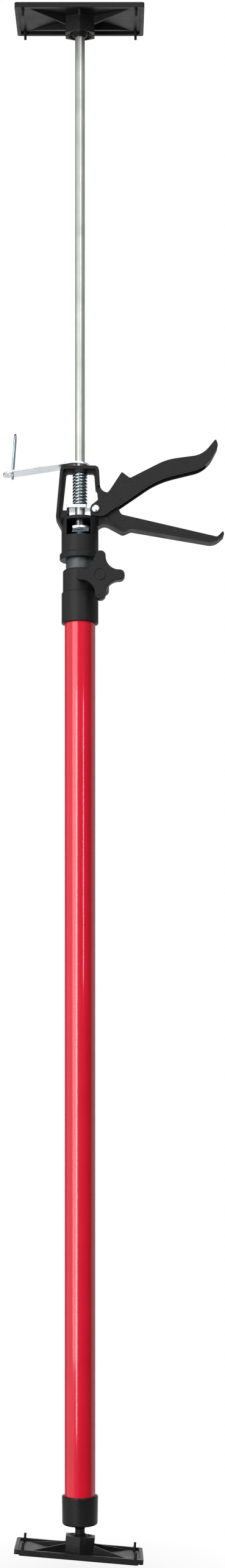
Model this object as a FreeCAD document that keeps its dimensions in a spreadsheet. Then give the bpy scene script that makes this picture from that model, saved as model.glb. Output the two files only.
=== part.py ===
import FreeCAD, Part
import math
import os
import Sketcher

# A quick-acting telescopic prop for holding boards against a ceiling: a foot pad on a ball
# stud, a painted outer tube with a split clamp, an inner tube that carries a moulded pump
# head, and a plated rod that the pump drives up under a second pad on a ball.

doc = FreeCAD.newDocument("DrywallProp")
sheet = doc.addObject("Spreadsheet::Sheet", "Sheet")

# Driving dimensions, in millimetres and degrees.
SIZES = {
    "running_gap": 0.3, "seat_gap": 0.04, "edge_round": 1, "soft_round": 2.4, "bend_round": 5,
    # Tubes and rod
    "outer_tube_diameter": 32, "outer_tube_wall": 1.2, "outer_tube_length": 955.5,
    "inner_tube_wall": 1, "inner_tube_rise": 25.7, "tube_showing": 10.6, "tube_seat": 20.5,
    "rod_diameter": 10, "rod_length": 1000, "rod_showing": 550.1, "rod_seat": 4, "rod_chamfer": 0.8,
    "guide_length": 14, "guide_rise": 4, "glide_collar": 12, "glide_plug": 14, "glide_wall": 2.4,
    # Pads, front to back along Y
    "pad_length": 132, "pad_width": 74, "pad_corner": 2.6, "plate_thickness": 2.8,
    "rim_height": 4.8, "rim_width": 3.8, "hub_flats": 30, "hub_point": 15.4, "hub_height": 18.4,
    "hub_mouth": 26, "hub_throat": 17.6, "hub_mouth_depth": 2.4, "hub_slit": 1.6, "hub_slit_depth": 7,
    "rib_thickness": 2.2, "rib_height": 7.6, "rib_inset_x": 15, "rib_inset_y": 10,
    "rubber_thickness": 2, "rubber_inset": 5, "peg_inset_x": 8.3, "peg_inset_y": 6.4,
    "peg_neck": 3, "peg_bulb": 4, "peg_tail": 2.6, "peg_length": 8,
    "head_tilt": 6.2, "foot_tilt": 5.9, "foot_tilt_heading": 124,
    # Balls
    "ball_diameter": 20, "ball_depth": 6.2, "neck_diameter": 10, "neck_length": 17.7,
    "ball_collar": 11.4, "collar_drop": 3.5, "stud_flare": 13, "flare_height": 4, "flare_edge": 1,
    "stud_shank": 9, "stud_snap": 12, "snap_height": 3,
    # End cap
    "cap_diameter": 37.4, "cap_foot": 36.6, "cap_height": 30, "cap_floor": 6,
    # Clamp
    "collar_diameter": 38, "collar_lower": 31.4, "collar_neck": 35.4, "collar_upper": 23.7,
    "collar_step": 0.6, "collar_overlap": 30, "ear_reach": 30, "ear_root": 3, "ear_bottom": 32,
    "ear_top": 55, "ear_round": 8, "ear_half_depth": 12, "clamp_slit": 2.4, "bolt_x": 21.4,
    "bolt_rise": 42.8, "bolt_diameter": 6, "bolt_end": 3, "nut_flats": 10, "nut_height": 5,
    "washer_diameter": 13, "washer_thickness": 1.4, "knob_reach": 24.6, "knob_lobe": 5.3,
    "knob_hollow": 13.5, "knob_thickness": 10, "knob_boss": 9, "knob_boss_length": 11.6,
    "knob_cap": 6, "knob_groove": 0.6,
    # Pump body, measured up from the bottom of its sleeve
    "sleeve_diameter": 38.2, "sleeve_height": 42.9, "sleeve_roof": 2, "sleeve_flange": 42,
    "flange_height": 6, "chamber_diameter": 28, "window_left": 13.6, "window_right": 11.2,
    "window_sill": 23.5, "window_height": 16.1, "frame_left": 20, "frame_right": 19.6,
    "frame_top": 96.3, "opening_left": 13.9, "opening_right": 14.7, "opening_top": 89.6,
    "deck_left": 11, "deck_right": 10.8, "leg_rim": 2.9, "bridge_rim": 3.4, "moulding_depth": 16,
    "ledge_depth": 9.6, "web_thickness": 5.6, "handle_flange": 2.3, "ledge_step": 1.4,
    "crown_round": 19, "arch_round": 8, "heel_round": 14, "boss_diameter": 15.8,
    "post_left": 13.7, "post_width": 2.3, "post_depth": 12, "lock_step": 8,
    "pivot_x": 16.4, "pivot_rise": 51.3, "pivot_diameter": 5, "lug_radius": 5.2,
    "rivet_head": 8.8, "rivet_dome": 2.6,
    # Trigger, drive plate and spring
    "trigger_depth": 16.5, "cheek_thickness": 2.3, "trigger_wall": 3.4, "jaw_round": 6,
    "back_round": 60, "belly_round": 90, "flick_round": 24, "finger_round": 30,
    "cheek_swing": 10.4, "cam_radius": 5.8, "cam_inner": 3.2,
    "drive_rise": 52.6, "drive_thickness": 3.4, "drive_depth": 19, "drive_left": 13.4,
    "drive_right": 6.6, "tongue_end": 13.2, "tongue_depth": 11, "fork_start": 10.4,
    "spring_diameter": 15.6, "spring_wire": 2, "spring_turns": 9.2,
    # Lock plate in the sleeve window
    "lock_rise": 31.3, "lock_thickness": 2.3, "lock_diameter": 26, "lock_flat": 8, "lip_front": 9,
    "lip_left": 6.6, "lip_right": 9.2, "lip_slant": 1.8, "lip_drop": 3,
    "lock_spring_diameter": 14, "lock_spring_wire": 1.4, "lock_spring_turns": 2.5,
    # Release lever on top of the frame
    "lever_thickness": 2, "lever_width": 20, "lever_heel": 10, "lever_crest": 4.5,
    "lever_crest_rise": 98.9, "lever_tip": 79.4, "lever_tip_rise": 87.5, "lever_gap": 0.4,
    "lever_bend": 40, "lever_slot": 13.2, "lever_hole": 4.2, "lever_hole_x": 73.4, "loop_wire": 2.3,
    "loop_half_width": 5.5, "loop_base": 69.6, "loop_top": 66.6, "loop_height": 41, "loop_foot": 3.4,
}

# Corners of the moulded outlines, as (x, z): the pump body's from the bottom of its sleeve,
# round the frame and the handle, and then the trigger's from its pivot.
CORNERS = {
    "waist": (-24.8, 42.8), "haunch": (-17.6, 29.4), "neck": (21, 70.6), "brow": (30.4, 70),
    "crown": (39.2, 63.7), "root": (40.8, 51.2), "grip": (42.3, 47.4), "hook": (141.5, 24.4),
    "tip": (147.2, 29.2), "nose": (148.9, 25.4), "heel": (138.5, 16.4), "knee": (52.4, 31.2),
    "dip": (44, 27.4), "arch": (24.5, 38), "armpit": (17, 32), "gusset": (26.4, 45.1),
    "jamb": (16, 72.4), "rebate": (17.7, 70.8), "elbow": (19, 58.6), "shelf": (-17.9, 51.4),
    "jaw": (-5.8, -7.2), "cheek": (-5.4, 3.6), "shoulder": (13.6, 18.4), "hood": (17.4, 19.2),
    "horn": (26.8, 38.4), "notch": (35.2, 32), "back": (73, 51.2), "flick": (110, 56.2),
    "point": (123.6, 72.6), "fingertip": (126, 66), "finger": (114.6, 43.4), "belly": (64, 31),
    "chin": (8, -7.4),
}
for name, (x, z) in CORNERS.items():
    SIZES[name + "_x"] = x
    SIZES[name + "_z"] = z
for row, (alias, value) in enumerate(SIZES.items(), start=1):
    sheet.set("A%d" % row, alias)
    sheet.set("B%d" % row, str(value))
    sheet.setAlias("B%d" % row, alias)
doc.recompute()

# Levels and shared sizes, as expressions of the sheet.
OUTER_BORE = "(Sheet.outer_tube_diameter - 2 * Sheet.outer_tube_wall)"
INNER_TUBE = "(%s - 2 * Sheet.running_gap)" % OUTER_BORE
INNER_BORE = "(%s - 2 * Sheet.inner_tube_wall)" % INNER_TUBE
ROD_HOLE = "(Sheet.rod_diameter + 2 * Sheet.running_gap)"
FACE_TO_BALL = "(Sheet.rubber_thickness + Sheet.hub_height - Sheet.ball_depth)"
FOOT_BALL = "(%s / cos(Sheet.foot_tilt))" % FACE_TO_BALL
CAP_BOTTOM = "(%s + Sheet.neck_length)" % FOOT_BALL
TUBE_BOTTOM = "(%s + Sheet.cap_floor)" % CAP_BOTTOM
COLLAR_BOTTOM = "(%s + Sheet.outer_tube_length - Sheet.collar_overlap)" % TUBE_BOTTOM
COLLAR_HEIGHT = "(Sheet.collar_lower + Sheet.collar_upper)"
SLEEVE_BOTTOM = "(%s + %s + Sheet.tube_showing)" % (COLLAR_BOTTOM, COLLAR_HEIGHT)
HEAD_BALL = "(%s + Sheet.rod_showing)" % SLEEVE_BOTTOM
PIVOT_HOLE = "(Sheet.pivot_diameter + 2 * Sheet.running_gap)"
BOLT_HOLE = "(Sheet.bolt_diameter + 2 * Sheet.running_gap)"
SPRING_BOTTOM = "(Sheet.drive_rise + Sheet.drive_thickness)"
LOCK_TOP = "(Sheet.lock_rise + Sheet.lock_thickness)"
CHAMBER_TOP = "(Sheet.sleeve_height - Sheet.sleeve_roof)"
CHEEK_INSIDE = "(Sheet.trigger_depth - 2 * Sheet.cheek_thickness)"

FLAT = FreeCAD.Placement()
UPRIGHT = FreeCAD.Placement(FreeCAD.Vector(), FreeCAD.Rotation(FreeCAD.Vector(1, 0, 0), 90))
SIDE = FreeCAD.Placement(FreeCAD.Vector(), FreeCAD.Rotation(FreeCAD.Vector(1, 1, 1), 120))

nodes = []


def value(expression):
    """The number that an expression of the sheet gives."""
    return float(sheet.evalExpression(str(expression)))


def bind(thing, **properties):
    """Tie properties of an object to expressions of the sheet."""
    for name, expression in properties.items():
        thing.setExpression(name.replace("__", "."), str(expression))
    return thing


def place(thing, x=0, y=0, z=0):
    """Put an object at a point given by expressions."""
    return bind(thing, Placement__Base__x=x, Placement__Base__y=y, Placement__Base__z=z)


def node(thing, label):
    """Name an object as one of the prop's pieces."""
    thing.Label = label
    nodes.append(thing)
    return thing


def tie_corner(sketch, geometry, end, corner, constraints, ties):
    """Hold one sketch point at its corner's coordinates."""
    for kind, coordinate in (("DistanceX", corner[0]), ("DistanceY", corner[1])):
        ties.append((len(constraints), coordinate))
        constraints.append(Sketcher.Constraint(kind, -1, 1, geometry, end, value(coordinate)))


def outline(sketch, corners):
    """Draw a closed outline: straight runs between (x, y) or (x, y, radius) corners."""
    points = [FreeCAD.Vector(value(c[0]), value(c[1]), 0) for c in corners]
    radii = [value(c[2]) if len(c) > 2 else 0 for c in corners]
    starts, ends, arcs = [], [], []
    for i, point in enumerate(points):
        before = (point - points[i - 1]).normalize()
        after = (points[(i + 1) % len(points)] - point).normalize()
        turn = math.atan2(before.cross(after).z, before.dot(after))
        reach = radii[i] * math.tan(abs(turn) / 2)
        starts.append(point - before * reach)
        ends.append(point + after * reach)
        arcs.append(None)
        if radii[i]:
            side = 1 if turn > 0 else -1
            centre = starts[i] + FreeCAD.Vector(-before.y, before.x, 0) * radii[i] * side
            first, last = (starts[i], ends[i]) if turn > 0 else (ends[i], starts[i])
            angles = [math.atan2(p.y - centre.y, p.x - centre.x) for p in (first, last)]
            if angles[1] < angles[0]:
                angles[1] += 2 * math.pi
            circle = Part.Circle(centre, FreeCAD.Vector(0, 0, 1), radii[i])
            arcs[i] = (Part.ArcOfCircle(circle, *angles), 1 if turn > 0 else 2)
    count = len(points)
    lines = [sketch.addGeometry(Part.LineSegment(ends[i], starts[(i + 1) % count])) for i in range(count)]
    constraints, ties = [], []
    for i, corner in enumerate(corners):
        came, goes = lines[i - 1], lines[i]
        if arcs[i] is None:
            constraints.append(Sketcher.Constraint("Coincident", came, 2, goes, 1))
            tie_corner(sketch, goes, 1, corner, constraints, ties)
            continue
        arc = sketch.addGeometry(arcs[i][0])
        near = arcs[i][1]
        constraints.append(Sketcher.Constraint("Tangent", came, 2, arc, near))
        constraints.append(Sketcher.Constraint("Tangent", goes, 1, arc, 3 - near))
        ties.append((len(constraints), corner[2]))
        constraints.append(Sketcher.Constraint("Radius", arc, radii[i]))
        mark = sketch.addGeometry(Part.Point(points[i]), True)
        constraints.append(Sketcher.Constraint("PointOnObject", mark, 1, came))
        constraints.append(Sketcher.Constraint("PointOnObject", mark, 1, goes))
        tie_corner(sketch, mark, 1, corner, constraints, ties)
    first = sketch.ConstraintCount
    sketch.addConstraint(constraints)
    for place_in_list, expression in ties:
        if isinstance(expression, str):
            sketch.setExpression("Constraints[%d]" % (first + place_in_list), expression)


def ring(sketch, diameter, x=0, y=0):
    """Draw a circle with its diameter and centre tied to the sheet."""
    centre = FreeCAD.Vector(value(x), value(y), 0)
    circle = sketch.addGeometry(Part.Circle(centre, FreeCAD.Vector(0, 0, 1), value(diameter) / 2))
    constraints, ties = [], []
    tie_corner(sketch, circle, 3, (x, y), constraints, ties)
    ties.append((len(constraints), diameter))
    constraints.append(Sketcher.Constraint("Diameter", circle, value(diameter)))
    first = sketch.ConstraintCount
    sketch.addConstraint(constraints)
    for place_in_list, expression in ties:
        if isinstance(expression, str):
            sketch.setExpression("Constraints[%d]" % (first + place_in_list), expression)


def drawn(name, plane, loops, rings=()):
    """A sketch on its own plane, with outlines and circles."""
    sketch = doc.addObject("Sketcher::SketchObject", name + "_outline")
    sketch.Placement = plane
    for corners in loops:
        outline(sketch, corners)
    for circle in rings:
        ring(sketch, *circle)
    return sketch


def prism(name, plane, depth, loops, rings=()):
    """A solid drawn on a plane through the origin and grown equally to both sides."""
    solid = doc.addObject("Part::Extrusion", name)
    solid.Base = drawn(name, plane, loops, rings)
    solid.DirMode = "Normal"
    solid.Solid = True
    solid.Symmetric = True
    return bind(solid, LengthFwd=depth)


def layer(name, low, high, loops, rings=(), plane=FLAT):
    """A solid between two levels: along Z when drawn flat, along Y when drawn upright."""
    solid = doc.addObject("Part::Extrusion", name)
    solid.Base = drawn(name, plane, loops, rings)
    solid.DirMode = "Normal"
    solid.Solid = True
    if plane is FLAT:
        place(solid.Base, z=low)
    else:
        place(solid.Base, y=high)
    return bind(solid, LengthFwd="(%s) - (%s)" % (high, low))


def turned(name, corners):
    """A body turned about Z from its half section in (radius, height)."""
    body = doc.addObject("PartDesign::Body", name)
    section = body.newObject("Sketcher::SketchObject", name + "_section")
    planes = [feature for feature in body.Origin.OriginFeatures if feature.Role == "XZ_Plane"]
    section.AttachmentSupport = (planes[0], [""])
    section.MapMode = "FlatFace"
    outline(section, corners)
    turn = body.newObject("PartDesign::Revolution", name + "_turn")
    turn.Profile = section
    turn.ReferenceAxis = (section, ["V_Axis"])
    turn.Angle = 360
    return body


def cylinder(name, diameter, low, high, x=0, y=0):
    """An upright cylinder between two levels."""
    solid = doc.addObject("Part::Cylinder", name)
    bind(solid, Radius="(%s) / 2" % diameter, Height="(%s) - (%s)" % (high, low))
    return place(solid, x, y, low)


def crosswise(name, diameter, front, back, x, z):
    """A cylinder along Y between two depths."""
    solid = doc.addObject("Part::Cylinder", name)
    solid.Placement = UPRIGHT
    bind(solid, Radius="(%s) / 2" % diameter, Height="(%s) - (%s)" % (back, front))
    return place(solid, x, back, z)


def taper(name, low_diameter, high_diameter, low, high, x=0, y=0):
    """An upright cone between two levels."""
    solid = doc.addObject("Part::Cone", name)
    bind(solid, Radius1="(%s) / 2" % low_diameter, Radius2="(%s) / 2" % high_diameter,
         Height="(%s) - (%s)" % (high, low))
    return place(solid, x, y, low)


def block(name, low, high):
    """A box between two corners."""
    solid = doc.addObject("Part::Box", name)
    sizes = ["(%s) - (%s)" % (b, a) for a, b in zip(low, high)]
    bind(solid, Length=sizes[0], Width=sizes[1], Height=sizes[2])
    return place(solid, *low)


def fuse(name, *solids):
    """One solid from several."""
    whole = doc.addObject("Part::MultiFuse", name)
    whole.Shapes = list(solids)
    whole.Refine = True
    return whole


def cut(name, base, *tools):
    """A solid with others taken out of it."""
    rest = doc.addObject("Part::Cut", name)
    rest.Base = base
    rest.Tool = tools[0] if len(tools) == 1 else fuse(name + "_tools", *tools)
    rest.Refine = True
    return rest


def rectangle(length, width, radius=None):
    """The corners of a rectangle about the origin."""
    signs = ((-1, -1), (1, -1), (1, 1), (-1, 1))
    corners = [("%d * (%s) / 2" % (a, length), "%d * (%s) / 2" % (b, width)) for a, b in signs]
    return [corner + (radius,) for corner in corners] if radius else corners


def hexagon(flats, x="0", y="0"):
    """The corners of a hexagon with two flats facing left and right."""
    reach = "(%s) / 2 / cos(30)" % flats
    turns = range(30, 390, 60)
    return [("%s + %s * cos(%d)" % (x, reach, a), "%s + %s * sin(%d)" % (y, reach, a)) for a in turns]


def corner(name, radius=None, rise="0", shift="0"):
    """A named corner of an outline, raised or shifted when asked."""
    point = ("Sheet.%s_x + %s" % (name, shift), "Sheet.%s_z + %s" % (name, rise))
    return point + (radius,) if radius else point


def tilt(thing, heading, angle):
    """Lean a piece about a level axis through its own origin."""
    direction = FreeCAD.Vector(math.cos(math.radians(heading)), math.sin(math.radians(heading)), 0)
    thing.Placement = FreeCAD.Placement(FreeCAD.Vector(), FreeCAD.Rotation(direction, 1))
    return bind(thing, Placement__Rotation__Angle=angle)


def pad_pieces(prefix, side, ball, heading, angle):
    """A pad about its ball: a ribbed plate with a socket, and the rubber pulled through it."""
    def level(name, low, high, loops, rings=()):
        if side > 0:
            return layer(prefix + name, low, high, loops, rings)
        return layer(prefix + name, "-(%s)" % high, "-(%s)" % low, loops, rings)

    def cone(name, low, low_diameter, high, high_diameter, x="0", y="0"):
        if side > 0:
            return taper(prefix + name, low_diameter, high_diameter, low, high, x, y)
        return taper(prefix + name, high_diameter, low_diameter, "-(%s)" % high, "-(%s)" % low, x, y)

    top = "(Sheet.hub_height - Sheet.ball_depth)"
    inner = "(%s - Sheet.plate_thickness)" % top
    rim_edge = "(%s - Sheet.rim_height)" % top
    end = "(-Sheet.ball_depth)"
    outer_edge = rectangle("Sheet.pad_length", "Sheet.pad_width", "Sheet.pad_corner")
    inner_edge = rectangle("(Sheet.pad_length - 2 * Sheet.rim_width)",
                           "(Sheet.pad_width - 2 * Sheet.rim_width)", "(Sheet.pad_corner / 2)")
    sheet_part = level("_sheet", inner, top, [outer_edge])
    rim = level("_rim", rim_edge, inner, [outer_edge, inner_edge])
    hub_side, hub_turn = "Sheet.hub_flats / 2", "Sheet.hub_flats / 2 * tan(30)"
    hub = level("_hub", end, inner, [[
        (hub_side, "-" + hub_turn), (hub_side, hub_turn), ("0", "Sheet.hub_point"),
        ("-" + hub_side, hub_turn), ("-" + hub_side, "-" + hub_turn), ("0", "-Sheet.hub_point")]])
    ribs = []
    rib_x = "(Sheet.pad_length / 2 - Sheet.rib_inset_x)"
    rib_y = "(Sheet.pad_width / 2 - Sheet.rib_inset_y)"
    rib_reach = "sqrt(%s ^ 2 + %s ^ 2)" % (rib_x, rib_y)
    hub_reach = "(Sheet.hub_flats / 2)"
    rib_foot = "%d * %s" % (side, inner)
    rib_crest = "%d * (%s - Sheet.rib_height)" % (side, inner)
    for way in (1, -1):
        rib = prism("%s_rib_%s" % (prefix, "right" if way > 0 else "left"), UPRIGHT, "Sheet.rib_thickness",
                    [[("-" + rib_reach, rib_foot), (rib_reach, rib_foot),
                      (hub_reach, rib_crest), ("-" + hub_reach, rib_crest)]])
        rib.Placement = FreeCAD.Placement(FreeCAD.Vector(), FreeCAD.Rotation(FreeCAD.Vector(0, 0, way), 1))
        ribs.append(bind(rib, Placement__Rotation__Angle="atan(%s / %s)" % (rib_y, rib_x)))
    socket = doc.addObject("Part::Sphere", prefix + "_socket")
    bind(socket, Radius="Sheet.ball_diameter / 2 + Sheet.running_gap")
    mouth = cone("_mouth", end, "Sheet.hub_mouth", end + " + Sheet.hub_mouth_depth", "Sheet.hub_throat")
    slit = level("_slit", end, end + " + Sheet.hub_slit_depth",
                 [rectangle("2 * Sheet.hub_flats", "Sheet.hub_slit")])
    peg_x = "(Sheet.pad_length / 2 - Sheet.peg_inset_x)"
    peg_y = "(Sheet.pad_width / 2 - Sheet.peg_inset_y)"
    pegs = [("%d * %s" % (a, peg_x), "%d * %s" % (b, peg_y)) for a in (-1, 0, 1) for b in (-1, 1)]
    peg_hole = "(Sheet.peg_neck + 2 * Sheet.seat_gap)"
    holes = level("_peg_holes", inner, top, [], [(peg_hole, x, y) for x, y in pegs])
    plate = cut(prefix + "_plate", fuse(prefix + "_plate_blank", sheet_part, rim, hub, *ribs),
                socket, mouth, slit, holes)

    face = "(%s + Sheet.rubber_thickness)" % top
    sole = level("_sole", top, face, [rectangle("(Sheet.pad_length - 2 * Sheet.rubber_inset)",
                                                "(Sheet.pad_width - 2 * Sheet.rubber_inset)",
                                                "Sheet.pad_corner")])
    bulb_end = "(%s - Sheet.peg_length / 2)" % inner
    tail_end = "(%s - Sheet.peg_length)" % inner
    necks = level("_peg_necks", inner, top, [], [("Sheet.peg_neck", x, y) for x, y in pegs])
    tails = level("_peg_tails", tail_end, bulb_end, [], [("Sheet.peg_tail", x, y) for x, y in pegs])
    bulbs = [cone("_peg_bulb", bulb_end, "Sheet.peg_tail", inner, "Sheet.peg_bulb", x, y) for x, y in pegs]
    rubber = fuse(prefix + "_rubber_pad", sole, necks, tails, *bulbs)
    for thing, label in ((plate, prefix + "_plate"), (rubber, prefix + "_rubber_pad")):
        tilt(thing, heading, angle)
        node(place(thing, z=ball), label)


def ball(name):
    """A ball about the origin."""
    return bind(doc.addObject("Part::Sphere", name), Radius="Sheet.ball_diameter / 2")


# Foot: pad, ball stud and the cap that closes the outer tube
pad_pieces("foot", -1, FOOT_BALL, value("Sheet.foot_tilt_heading"), "Sheet.foot_tilt")

stud_top = "(Sheet.neck_length + Sheet.cap_floor + Sheet.running_gap)"
stud_shoulder = "(Sheet.neck_length - Sheet.running_gap)"
stud_stem = turned("foot_stud_stem", [
    ("0", "0"), ("Sheet.neck_diameter / 2", "0"),
    ("Sheet.neck_diameter / 2", stud_shoulder + " - Sheet.flare_height", "Sheet.soft_round"),
    ("Sheet.stud_flare / 2", stud_shoulder + " - Sheet.flare_edge"), ("Sheet.stud_flare / 2", stud_shoulder),
    ("Sheet.stud_shank / 2", stud_shoulder), ("Sheet.stud_shank / 2", stud_top),
    ("Sheet.stud_snap / 2", stud_top), ("Sheet.stud_shank / 2", stud_top + " + Sheet.snap_height"),
    ("0", stud_top + " + Sheet.snap_height")])
foot_stud = fuse("foot_stud", ball("foot_ball"), stud_stem)
node(place(foot_stud, z=FOOT_BALL), "foot_ball_stud")

stud_hole = "(Sheet.stud_shank / 2 + Sheet.running_gap)"
tube_seat = "(Sheet.outer_tube_diameter / 2 + Sheet.seat_gap)"
end_cap = turned("end_cap", [
    (stud_hole, "0"), ("Sheet.cap_foot / 2", "0", "Sheet.soft_round"),
    ("Sheet.cap_diameter / 2", "Sheet.cap_height", "Sheet.edge_round"), (tube_seat, "Sheet.cap_height"),
    (tube_seat, "Sheet.cap_floor"), (stud_hole, "Sheet.cap_floor")])
node(place(end_cap, z=CAP_BOTTOM), "end_cap")


def tube(name, outside, bore, length):
    """A plain tube standing on the origin."""
    body = doc.addObject("PartDesign::Body", name)
    section = body.newObject("Sketcher::SketchObject", name + "_section")
    planes = [feature for feature in body.Origin.OriginFeatures if feature.Role == "XY_Plane"]
    section.AttachmentSupport = (planes[0], [""])
    section.MapMode = "FlatFace"
    ring(section, outside)
    ring(section, bore)
    pad = body.newObject("PartDesign::Pad", name + "_pad")
    pad.Profile = section
    bind(pad, Length=length)
    return body


outer_tube = tube("outer_tube", "Sheet.outer_tube_diameter", OUTER_BORE, "Sheet.outer_tube_length")
node(place(outer_tube, z=TUBE_BOTTOM), "outer_tube")

# Split clamp at the top of the outer tube, with its star knob facing the front
grip = "(%s / 2 + Sheet.running_gap)" % INNER_TUBE
collar_turn = turned("collar_turn", [
    (tube_seat, "0"), ("Sheet.collar_diameter / 2", "0", "Sheet.edge_round"),
    ("Sheet.collar_diameter / 2", "Sheet.collar_lower", "Sheet.edge_round"),
    ("Sheet.collar_neck / 2", "Sheet.collar_lower + Sheet.collar_step"),
    ("Sheet.collar_neck / 2", COLLAR_HEIGHT, "2 * Sheet.edge_round"),
    (grip, COLLAR_HEIGHT), (grip, "Sheet.collar_overlap"), (tube_seat, "Sheet.collar_overlap")])
ear_root = "(Sheet.collar_neck / 2 - Sheet.ear_root)"
ears = prism("clamp_ears", UPRIGHT, "2 * Sheet.ear_half_depth", [[
    (ear_root, "Sheet.ear_bottom"), ("Sheet.ear_reach", "Sheet.ear_bottom", "Sheet.bend_round"),
    ("Sheet.ear_reach", "Sheet.ear_top", "Sheet.ear_round"), (ear_root, "Sheet.ear_top")]])
clamp_slit = block("clamp_slit_space", ("0", "-Sheet.clamp_slit / 2", "Sheet.collar_overlap"),
                   ("2 * Sheet.ear_reach", "Sheet.clamp_slit / 2", "2 * " + COLLAR_HEIGHT))
collar_bore = cylinder("collar_bore", "2 * " + grip, "Sheet.collar_overlap", "2 * " + COLLAR_HEIGHT)
tube_bore = cylinder("collar_tube_bore", "2 * " + tube_seat, "0", "Sheet.collar_overlap")
bolt_hole = crosswise("clamp_bolt_hole", BOLT_HOLE, "-Sheet.ear_half_depth", "Sheet.ear_half_depth",
                      "Sheet.bolt_x", "Sheet.bolt_rise")
nut_seat = "(Sheet.ear_half_depth - Sheet.nut_height)"
nut_pocket = layer("clamp_nut_pocket", nut_seat, "Sheet.ear_half_depth",
                   [hexagon("Sheet.nut_flats + 2 * Sheet.seat_gap", "Sheet.bolt_x", "Sheet.bolt_rise")],
                   plane=UPRIGHT)
collar = cut("clamp_collar", fuse("collar_blank", collar_turn, ears),
             clamp_slit, collar_bore, tube_bore, bolt_hole, nut_pocket)
node(place(collar, z=COLLAR_BOTTOM), "clamp_collar")

nut = layer("clamp_nut", nut_seat, "Sheet.ear_half_depth",
            [hexagon("Sheet.nut_flats", "Sheet.bolt_x", "Sheet.bolt_rise")],
            [(BOLT_HOLE, "Sheet.bolt_x", "Sheet.bolt_rise")], plane=UPRIGHT)
node(place(nut, z=COLLAR_BOTTOM), "clamp_nut")

washer_back = "(-Sheet.ear_half_depth - Sheet.running_gap)"
boss_back = "(%s - Sheet.washer_thickness)" % washer_back
star_back = "(%s - Sheet.knob_boss_length)" % boss_back
star_front = "(%s - Sheet.knob_thickness)" % star_back
bolt_seat = "(Sheet.bolt_diameter + 2 * Sheet.seat_gap)"
washer = layer("clamp_washer", boss_back, washer_back, [],
               [("Sheet.washer_diameter",), (bolt_seat,)], plane=UPRIGHT)
node(place(washer, "Sheet.bolt_x", 0, COLLAR_BOTTOM + " + Sheet.bolt_rise"), "clamp_washer")

bolt_front = "(%s + Sheet.knob_thickness / 2)" % star_front
bolt = crosswise("clamp_bolt", "Sheet.bolt_diameter", bolt_front, "Sheet.ear_half_depth + Sheet.bolt_end",
                 "Sheet.bolt_x", COLLAR_BOTTOM + " + Sheet.bolt_rise")
node(bolt, "clamp_bolt")

lobe = "Sheet.knob_lobe"
tip_round = "(0.98 * Sheet.knob_lobe)"
star = []
for a, b in ((1, 0), (0, 1), (-1, 0), (0, -1)):
    for turn in (-1, 1):
        star.append(("%d * Sheet.knob_reach + %d * %s" % (a, -b * turn, lobe),
                     "%d * Sheet.knob_reach + %d * %s" % (b, a * turn, lobe), tip_round))
    star.append(("%d * %s" % (a - b, lobe), "%d * %s" % (a + b, lobe), "Sheet.knob_hollow"))
star_plate = layer("knob_star", star_front, star_back, [star], plane=UPRIGHT)
knob_boss = layer("knob_boss_part", star_back, boss_back, [], [("2 * Sheet.knob_boss",)], plane=UPRIGHT)
knob_bore = layer("knob_bore", bolt_front, boss_back, [], [(bolt_seat,)], plane=UPRIGHT)
knob_cap_ring = layer("knob_cap_ring", star_front, star_front + " + Sheet.knob_groove", [],
                      [("2 * Sheet.knob_cap",), ("2 * (Sheet.knob_cap - Sheet.knob_groove)",)], plane=UPRIGHT)
knob = cut("star_knob", fuse("knob_blank", star_plate, knob_boss), knob_bore, knob_cap_ring)
node(place(knob, "Sheet.bolt_x", 0, COLLAR_BOTTOM + " + Sheet.bolt_rise"), "star_knob")

# Inner tube, with the glide at its lower end
inner_bottom = "(%s + Sheet.inner_tube_rise)" % TUBE_BOTTOM
inner_tube = tube("inner_tube", INNER_TUBE, INNER_BORE,
                  "%s + Sheet.tube_seat - %s" % (SLEEVE_BOTTOM, inner_bottom))
node(place(inner_tube, z=inner_bottom), "inner_tube")

plug = "(%s / 2 - Sheet.seat_gap)" % INNER_BORE
glide_bore = "(%s - Sheet.glide_wall)" % plug
glide_outside = "(%s / 2 - Sheet.running_gap / 3)" % OUTER_BORE
glide = turned("inner_tube_glide", [
    (glide_bore, "-Sheet.glide_collar"), (glide_outside, "-Sheet.glide_collar", "Sheet.edge_round"),
    (glide_outside, "0"), (plug, "0"), (plug, "Sheet.glide_plug"), (glide_bore, "Sheet.glide_plug")])
node(place(glide, z=inner_bottom), "inner_tube_glide")

# Pump body: one moulding with a sleeve for the tube, an open frame and the fixed handle
SMALL, SOFT, BEND = "Sheet.edge_round", "Sheet.soft_round", "Sheet.bend_round"
web_edge = [
    ("-Sheet.frame_left", "Sheet.frame_top", BEND), ("Sheet.frame_right", "Sheet.frame_top", BEND),
    corner("neck", "Sheet.arch_round"), corner("brow", SMALL), corner("crown", "Sheet.crown_round"),
    corner("root", SMALL), corner("grip", BEND), corner("hook", SOFT), corner("tip", SMALL),
    corner("nose", SOFT), corner("heel", "Sheet.heel_round"), corner("knee", BEND), corner("dip", BEND),
    corner("arch", "Sheet.arch_round"), corner("armpit", BEND), ("Sheet.armpit_x", "Sheet.flange_height"),
    ("Sheet.haunch_x", "Sheet.flange_height"), corner("haunch"), corner("waist", BEND)]
lug_left = "Sheet.pivot_x - Sheet.lug_radius"
opening = [
    ("-Sheet.opening_left", "Sheet.opening_top", SOFT), ("Sheet.opening_right", "Sheet.opening_top", SOFT),
    corner("jamb"), corner("rebate"), corner("elbow", SMALL),
    (lug_left, "Sheet.pivot_rise + Sheet.lug_radius", SOFT), ("Sheet.deck_right", "Sheet.sleeve_height"),
    ("-Sheet.deck_left", "Sheet.sleeve_height"), ("-Sheet.deck_left", "Sheet.shelf_z"),
    corner("shelf", SMALL)]
panel_top = "Sheet.frame_top - Sheet.bridge_rim"
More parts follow.
